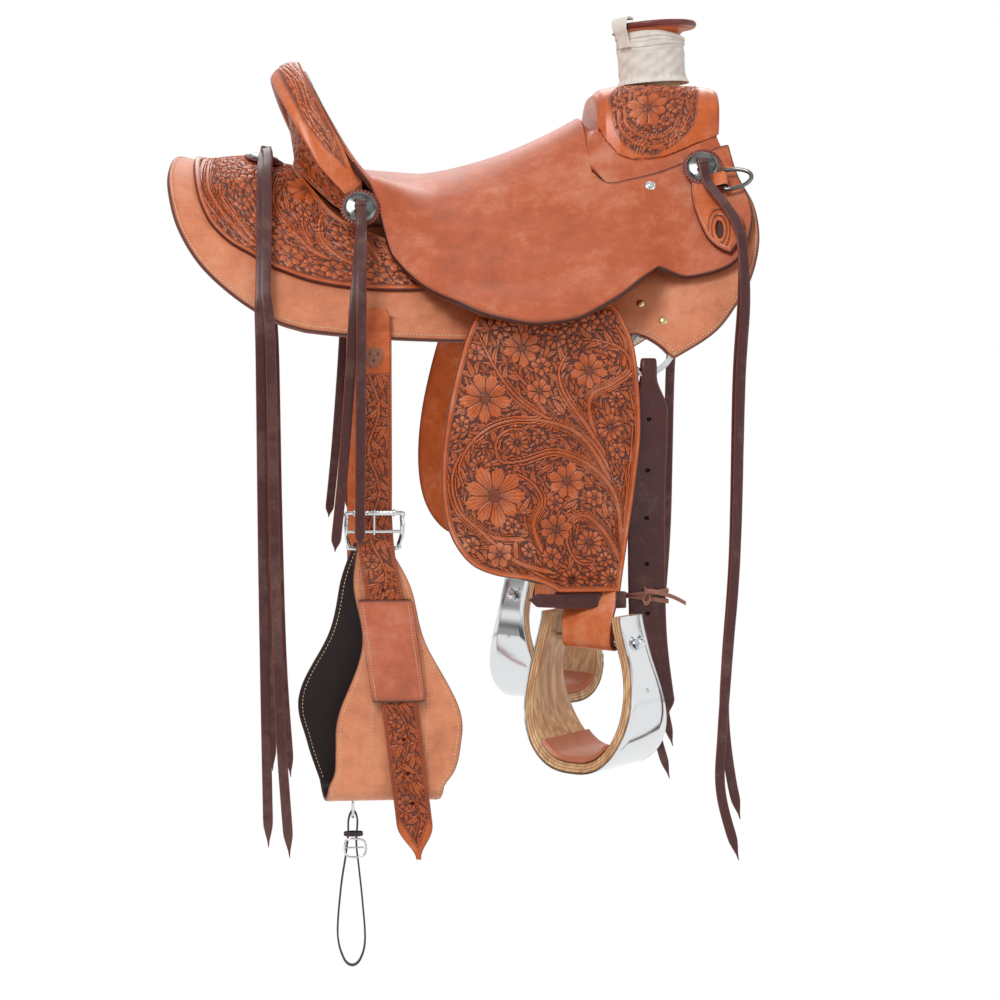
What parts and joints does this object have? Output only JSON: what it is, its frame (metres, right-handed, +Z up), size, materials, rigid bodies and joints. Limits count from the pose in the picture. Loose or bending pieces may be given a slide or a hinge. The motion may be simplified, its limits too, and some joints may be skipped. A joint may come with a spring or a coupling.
{
  "type": "western wade saddle",
  "caption": "Slick-fork western wade saddle with wrapped horn, tooled leather, fenders with bell stirrups, front and rear rigging, flank cinch and long saddle strings.",
  "frame": {"origin": "on the horse's back line, under the rider, where the saddle's channel stands over the spine", "axes": "+X to the horse's head, +Y to the near (left) side, +Z up"},
  "size_m": [0.7137, 0.6932, 1.1624],
  "materials": {
    "saddle_leather": "satin",
    "tooled_leather": "satin",
    "dark_leather": "satin",
    "black_leather": "satin",
    "horn_leather": "satin",
    "fleece": "satin",
    "rawhide": "satin",
    "mulehide": "satin",
    "wood": "satin",
    "steel": "polished"
  },
  "bodies": {
    "saddle": {"tree_fork": "rawhide", "tree_cantle": "rawhide", "ground_seat": "saddle_leather", "seat_leather": "saddle_leather", "fork_cover": "tooled_leather", "horn_wrap": "mulehide", "horn_cap": "horn_leather", "cantle_back": "tooled_leather", "cantle_roll": "tooled_leather", "tree_bar_off": "rawhide", "tree_bar_near": "rawhide", "rear_jockey_off": "tooled_leather", "rear_jockey_near": "tooled_leather", "skirt_off": "saddle_leather", "skirt_near": "saddle_leather", "fleece_off": "fleece", "fleece_near": "fleece", "rigging_ring_off": "steel", "rigging_ring_near": "steel", "concho_front_off": "steel", "concho_front_near": "steel", "concho_cantle_off": "steel", "concho_cantle_near": "steel", "concho_rear_off": "steel", "concho_rear_near": "steel", "string_front_off": "dark_leather", "string_front_near": "dark_leather", "string_cantle_off": "dark_leather", "string_cantle_near": "dark_leather", "string_rear_off": "dark_leather", "string_rear_near": "dark_leather"},
    "hanger_off": {"stirrup_leather_upper_off": "saddle_leather"},
    "fender_off": {"fender_off": "tooled_leather", "stirrup_leather_off": "saddle_leather", "hobble_strap_off": "dark_leather"},
    "stirrup_off": {"stirrup_wood_off": "wood", "stirrup_band_off": "steel", "stirrup_tread_off": "saddle_leather", "stirrup_bolt_off": "steel"},
    "dee_off": {"dee_ring_off": "steel"},
    "latigo_keeper_off": {"latigo_keeper_off": "tooled_leather"},
    "hanger_near": {"stirrup_leather_upper_near": "saddle_leather"},
    "fender_near": {"fender_near": "tooled_leather", "stirrup_leather_near": "saddle_leather", "hobble_strap_near": "dark_leather"},
    "stirrup_near": {"stirrup_wood_near": "wood", "stirrup_band_near": "steel", "stirrup_tread_near": "saddle_leather", "stirrup_bolt_near": "steel"},
    "dee_near": {"dee_ring_near": "steel"},
    "latigo_keeper_near": {"latigo_keeper_near": "tooled_leather"},
    "off_billet": {"off_billet": "dark_leather"},
    "rear_billet_near": {"rear_billet_near": "tooled_leather"},
    "flank_rigging": {"rear_billet_off": "tooled_leather", "cinch_buckle": "steel", "flank_cinch": "saddle_leather", "cinch_keeper": "saddle_leather"},
    "buckle_tongue": {"buckle_tongue": "steel"},
    "connector": {"connector_snap": "steel", "connector_strap": "black_leather"}
  },
  "joints": [
    {"name": "fender_swing_off", "type": "hinge", "parent": "saddle", "child": "hanger_off", "pos_m": [0.12014, -0.2, -0.01], "axis": [0, 1, 0], "range_deg": [-4, 5]},
    {"name": "fender_lift_off", "type": "hinge", "parent": "hanger_off", "child": "fender_off", "pos_m": [0.115, -0.243, -0.122], "axis": [-1, 0, 0], "range_deg": [0, 35]},
    {"name": "stirrup_turn_off", "type": "hinge", "parent": "fender_off", "child": "stirrup_off", "pos_m": [0.131, -0.262, -0.502], "axis": [0.7431, -0.6691, 0], "range_deg": [-40, 15]},
    {"name": "dee_hinge_off", "type": "hinge", "parent": "saddle", "child": "dee_off", "pos_m": [0.30339, -0.16717, 0.04501], "axis": [0, -0.608, -0.7939], "range_deg": [0, 90]},
    {"name": "keeper_turn_off", "type": "hinge", "parent": "saddle", "child": "latigo_keeper_off", "pos_m": [0.28133, -0.14511, 0.06104], "axis": [-0.1684, -0.8892, 0.4253], "range_deg": [-6, 6]},
    {"name": "fender_swing_near", "type": "hinge", "parent": "saddle", "child": "hanger_near", "pos_m": [0.12014, 0.2, -0.01], "axis": [0, 1, 0], "range_deg": [-4, 5]},
    {"name": "fender_lift_near", "type": "hinge", "parent": "hanger_near", "child": "fender_near", "pos_m": [0.115, 0.243, -0.122], "axis": [1, 0, 0], "range_deg": [0, 35]},
    {"name": "stirrup_turn_near", "type": "hinge", "parent": "fender_near", "child": "stirrup_near", "pos_m": [0.131, 0.262, -0.502], "axis": [0.7431, 0.6691, 0], "range_deg": [-15, 40]},
    {"name": "dee_hinge_near", "type": "hinge", "parent": "saddle", "child": "dee_near", "pos_m": [0.30339, 0.16717, 0.04501], "axis": [0, -0.608, 0.7939], "range_deg": [0, 90]},
    {"name": "keeper_turn_near", "type": "hinge", "parent": "saddle", "child": "latigo_keeper_near", "pos_m": [0.28133, 0.14511, 0.06104], "axis": [-0.1684, 0.8892, 0.4253], "range_deg": [-6, 6]},
    {"name": "off_billet_swing", "type": "hinge", "parent": "saddle", "child": "off_billet", "pos_m": [0.20259, -0.24637, -0.18739], "axis": [0, 1, 0], "range_deg": [-8, 6]},
    {"name": "rear_billet_swing_near", "type": "hinge", "parent": "saddle", "child": "rear_billet_near", "pos_m": [-0.1255, 0.22, -0.112], "axis": [0, 1, 0], "range_deg": [-5, 5]},
    {"name": "flank_cinch_swing", "type": "hinge", "parent": "saddle", "child": "flank_rigging", "pos_m": [-0.11648, -0.22, -0.112], "axis": [0, 1, 0], "range_deg": [-5, 5]},
    {"name": "buckle_tongue_turn", "type": "hinge", "parent": "flank_rigging", "child": "buckle_tongue", "pos_m": [-0.1255, -0.2479, -0.374], "axis": [1, 0, 0], "range_deg": [0, 42]},
    {"name": "connector_swing", "type": "hinge", "parent": "flank_rigging", "child": "connector", "pos_m": [-0.151, -0.2045, -0.7], "axis": [0, 1, 0], "range_deg": [-20, 20]}
  ]
}
